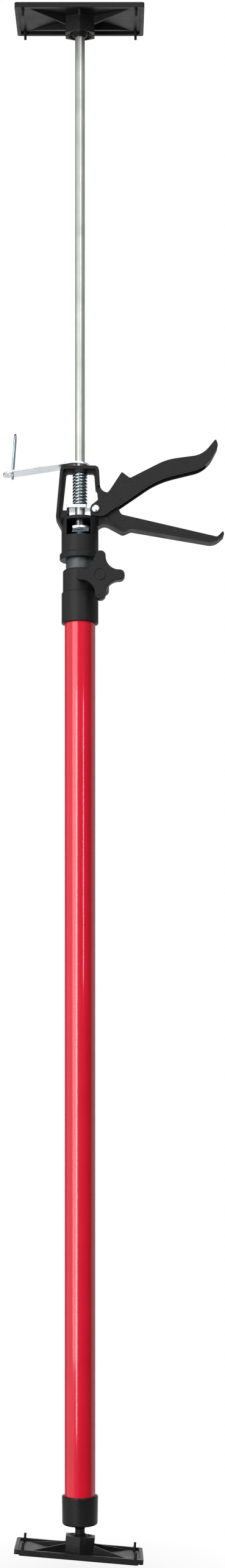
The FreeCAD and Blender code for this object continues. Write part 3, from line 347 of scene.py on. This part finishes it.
def wire_rings(mesh, base, radius, rise, wire, turns, closed):
    """Rings of wire from the base of a closed-end spring to its top."""
    steps = int(turns * STEPS_PER_TURN)
    flat = wire * CLOSED_PITCH
    rings = []
    for step in range(steps + 1):
        turn = turns * step / steps
        free = min(max((turn - closed) / (turns - 2 * closed), 0), 1)
        climb = (min(turn, closed) + max(turn - turns + closed, 0)) * flat
        height = base[2] + wire / 2 + climb + free * (rise - 2 * flat * closed)
        angle = 2 * math.pi * turn
        out = Vector((math.cos(angle), math.sin(angle), 0))
        middle = Vector((base[0], base[1], height)) + out * radius
        ring = []
        for side in range(WIRE_SIDES):
            around = 2 * math.pi * side / WIRE_SIDES
            offset = out * math.cos(around) + Vector((0, 0, 1)) * math.sin(around)
            ring.append(mesh.verts.new(middle + offset * wire / 2))
        rings.append(ring)
    return rings


def skin(mesh, rings):
    """Close the rings into one tube with flat ends."""
    for one, two in zip(rings, rings[1:]):
        for side in range(WIRE_SIDES):
            after = (side + 1) % WIRE_SIDES
            mesh.faces.new((one[side], two[side], two[after], one[after]))
    mesh.faces.new(rings[0])
    mesh.faces.new(list(reversed(rings[-1])))
    bmesh.ops.recalc_face_normals(mesh, faces=mesh.faces)


print("one turn of wire has", STEPS_PER_TURN * WIRE_SIDES, "faces")

# %% [markdown]
# Each wound spring takes the place of a plain one in the imported model. It fills the same box and
# rides along with the pump body.

# %% Wind the springs
def wind(name, node, wire, turns, closed):
    """A closed-end spring in the place of a CAD spring, attached to the inner pole."""
    low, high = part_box(node)
    centre = [(a + b) / 2 for a, b in zip(low, high)]
    radius = (high[0] - low[0]) / 2 - wire / 2
    rise = (high[2] - low[2]) - wire
    base = (centre[0], centre[1], low[2])
    mesh = bmesh.new()
    skin(mesh, wire_rings(mesh, base, radius, rise, wire, turns, closed))
    data = bpy.data.meshes.new(name)
    mesh.to_mesh(data)
    mesh.free()
    data.shade_smooth()
    spring = bpy.data.objects.new(name, data)
    bpy.context.scene.collection.objects.link(spring)
    data.materials.append(spring_zinc)
    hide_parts(node)
    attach(spring, "inner_pole")
    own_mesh(spring)
    print(name, "has", turns, "turns of", wire * 1000, "mm wire, radius", round(radius * 1000, 2), "mm")


wind("main_spring_wire", "main_spring", 0.002, 10.2, 0.7)
wind("lock_spring_wire", "lock_spring", 0.0014, 3.2, 0.6)

# %% [markdown]
# ## Studio floor
# The picture has a plain white ground. The paper floor is pale and takes a soft shadow near the
# foot. Seen by the camera, a mirror or glass, it turns pure white with distance, so that no
# horizon shows. It ends a little in front of the foot, as a roll of studio paper does, and it lies
# low enough for the foot pad to tilt all the way without dipping into it.

# %% Rules for rays
def combined(tree, operation, one, two):
    """Two amounts put together by one rule of the math node."""
    rule = tree.nodes.new("ShaderNodeMath")
    rule.operation = operation
    tree.links.new(one, rule.inputs[0])
    tree.links.new(two, rule.inputs[1])
    return rule.outputs["Value"]


def looked_at(tree, *kinds):
    """1 for the rays that look at a thing, 0 for those that only light it."""
    path = tree.nodes.new("ShaderNodeLightPath")
    amount = path.outputs[kinds[0]]
    for kind in kinds[1:]:
        amount = combined(tree, "MAXIMUM", amount, path.outputs[kind])
    return amount


print("rays that look can be told from rays that light")

# %% [markdown]
# The floor's paper and a plain white are mixed by distance from the foot. Close to the foot a
# little of the paper shows, and with it the shadow.

# %% Floor
FOOT_SWING = 0.016
FLOOR_SIDE, FLOOR_FRONT, FLOOR_BACK = 0.24, -0.16, 12.0
SHADOW_NEAR, SHADOW_FAR = 0.04, 0.2
WHITE_SHARE_NEAR = 0.86
floor_level = cad_box[0][2] - FOOT_SWING


def floor_paper():
    """Pale paper that turns white away from the foot for the rays that look at it."""
    material = bpy.data.materials.new("floor_paper")
    material.use_nodes = True
    tree = material.node_tree
    paper = tree.nodes["Principled BSDF"]
    paper.inputs["Base Color"].default_value = (0.6, 0.6, 0.6, 1)
    paper.inputs["Roughness"].default_value = 0.9
    white = tree.nodes.new("ShaderNodeEmission")
    distance = tree.nodes.new("ShaderNodeVectorMath")
    distance.operation = "LENGTH"
    where = tree.nodes.new("ShaderNodeTexCoord").outputs["Object"]
    tree.links.new(where, distance.inputs[0])
    far = rescaled(tree, distance.outputs["Value"], SHADOW_NEAR, SHADOW_FAR, WHITE_SHARE_NEAR, 1.0)
    seen = looked_at(tree, "Is Camera Ray", "Is Glossy Ray", "Is Transmission Ray")
    mix = tree.nodes.new("ShaderNodeMixShader")
    tree.links.new(combined(tree, "MULTIPLY", far, seen), mix.inputs["Fac"])
    tree.links.new(paper.outputs["BSDF"], mix.inputs[1])
    tree.links.new(white.outputs["Emission"], mix.inputs[2])
    tree.links.new(mix.outputs["Shader"], tree.nodes["Material Output"].inputs["Surface"])
    return material


corners = [(-FLOOR_SIDE, FLOOR_FRONT, floor_level), (FLOOR_SIDE, FLOOR_FRONT, floor_level),
           (FLOOR_SIDE, FLOOR_BACK, floor_level), (-FLOOR_SIDE, FLOOR_BACK, floor_level)]
floor_mesh = bpy.data.meshes.new("studio_floor")
floor_mesh.from_pydata(corners, [], [(0, 1, 2, 3)])
floor = bpy.data.objects.new("studio_floor", floor_mesh)
bpy.context.scene.collection.objects.link(floor)
floor_mesh.materials.append(floor_paper())
print("floor level in mm:", round(floor_level * 1000, 1))

# %% [markdown]
# ## Studio world
# The world is white where it is looked at and dim where it only lights. What shiny things see in
# it is a studio: the white backdrop behind, white walls to the left and right, a bright ceiling
# towards the camera, and little else, because the dark stretches make metal look like metal.

# %% World
ROOM_LIGHT = 0.12
DARK_CORNER = 0.05
RIGHT_WALL = 0.8
CEILING = 0.8
world = bpy.data.worlds.new("studio_world")
bpy.context.scene.world = world
world.use_nodes = True
sky = world.node_tree
facing = sky.nodes.new("ShaderNodeSeparateXYZ")
sky.links.new(sky.nodes.new("ShaderNodeTexCoord").outputs["Generated"], facing.inputs["Vector"])
across, ahead, up = (facing.outputs[axis] for axis in "XYZ")
backdrop = rescaled(sky, ahead, 0.75, 0.95, DARK_CORNER, 1.0)
left_wall = combined(sky, "MULTIPLY", rescaled(sky, across, -0.8, -0.5, 1.0, 0.0),
                     rescaled(sky, ahead, 0.3, 0.6, 1.0, 0.0))
right_wall = combined(sky, "MULTIPLY", rescaled(sky, across, 0.5, 0.8, 0.0, RIGHT_WALL),
                      rescaled(sky, ahead, -0.1, 0.25, 0.0, 1.0))
ceiling = combined(sky, "MULTIPLY", rescaled(sky, up, 0.2, 0.34, 0.0, CEILING),
                   rescaled(sky, ahead, -0.4, 0.3, 1.0, 0.0))
mirrored = backdrop
for bright in (left_wall, right_wall, ceiling):
    mirrored = combined(sky, "MAXIMUM", mirrored, bright)
level = sky.nodes.new("ShaderNodeMix")
level.inputs["A"].default_value = ROOM_LIGHT
sky.links.new(looked_at(sky, "Is Glossy Ray"), level.inputs["Factor"])
sky.links.new(mirrored, level.inputs["B"])
strength = sky.nodes.new("ShaderNodeMix")
strength.inputs["B"].default_value = 1.0
sky.links.new(looked_at(sky, "Is Camera Ray", "Is Transmission Ray"), strength.inputs["Factor"])
sky.links.new(level.outputs["Result"], strength.inputs["A"])
background = sky.nodes["Background"]
background.inputs["Color"].default_value = (1, 1, 1, 1)
sky.links.new(strength.outputs["Result"], background.inputs["Strength"])
print("the world lights at", ROOM_LIGHT, "and is white where it is looked at")

# %% [markdown]
# ## Soft boxes
# A round glossy tube shows the room as stripes. A tall soft box to the left of the camera makes
# the long pale streak, and a narrow strip beside it gives the streak its bright core. A short
# strip to the right draws a second, thinner streak. Both strips end low enough to leave the tube
# plainer under the collar. A box high above the camera, to the right, lights the middle of the
# rod and keeps the dark side from going black. One behind the prop lights its back. It is hidden
# from the camera and from mirrors, so that bright metal seen against the white ground keeps its
# outline.

# %% Light
def soft_box(name, place, aim, wide, tall, watts):
    """A rectangular lamp aimed at a point."""
    lamp = bpy.data.lights.new(name, "AREA")
    lamp.shape = "RECTANGLE"
    lamp.size = wide
    lamp.size_y = tall
    lamp.energy = watts
    thing = bpy.data.objects.new(name, lamp)
    thing.location = place
    thing.rotation_euler = (Vector(aim) - Vector(place)).to_track_quat("-Z", "Y").to_euler()
    bpy.context.scene.collection.objects.link(thing)
    return thing


soft_box("left_box", (-1.2, -1.6, 0.88), (0, 0, 0.78), wide=1.4, tall=1.96, watts=33)
soft_box("left_strip", (-0.78, -1.72, 0.52), (0, 0, 0.52), wide=0.3, tall=1.45, watts=13)
soft_box("right_box", (0.5, -1.82, 2.1), (0, 0, 1.35), wide=0.9, tall=1.1, watts=11)
soft_box("right_strip", (0.84, -1.72, 0.96), (0, 0, 0.96), wide=0.2, tall=0.55, watts=3)
soft_box("top_box", (0.0, -0.8, 3.0), (0, 0, 1.0), wide=1.4, tall=1.4, watts=9)
back_box = soft_box("back_box", (0.3, 2.2, 1.2), (0, 0, 0.8), wide=1.6, tall=2.0, watts=26)
back_box.visible_camera = False
back_box.visible_glossy = False

# %% [markdown]
# ## Camera
# The photograph is level: the pole stays upright from top to bottom, and both pads show how far
# the eye is from each of them. That puts the camera 2.1 m in front of the pole and half a metre
# up. The frame is shifted up to take in the head, instead of tilting the camera.

# %% Camera at the photograph's place
LENS_MM, SENSOR_MM = 46.47, 36
SHIFT_UP = 0.1848
eye = (0.0336, -2.095, 0.4982)
camera_data = bpy.data.cameras.new("studio_camera")
camera_data.sensor_width = SENSOR_MM
camera_data.lens = LENS_MM
camera_data.shift_y = SHIFT_UP
camera = bpy.data.objects.new("studio_camera", camera_data)
camera.location = eye
camera.rotation_euler = (math.radians(90), 0, 0)
bpy.context.scene.collection.objects.link(camera)
bpy.context.scene.camera = camera
bpy.context.scene.view_settings.view_transform = "Standard"
print("camera stands", round(-camera.location.y, 3), "m in front of the pole")

# %% [markdown]
# ## The size of the prop
# Dressing must not change the prop's size, so the box of the imported prop is printed.

# %% Print the imported box
print("CAD box:", [[round(c, 4) for c in corner] for corner in cad_box])
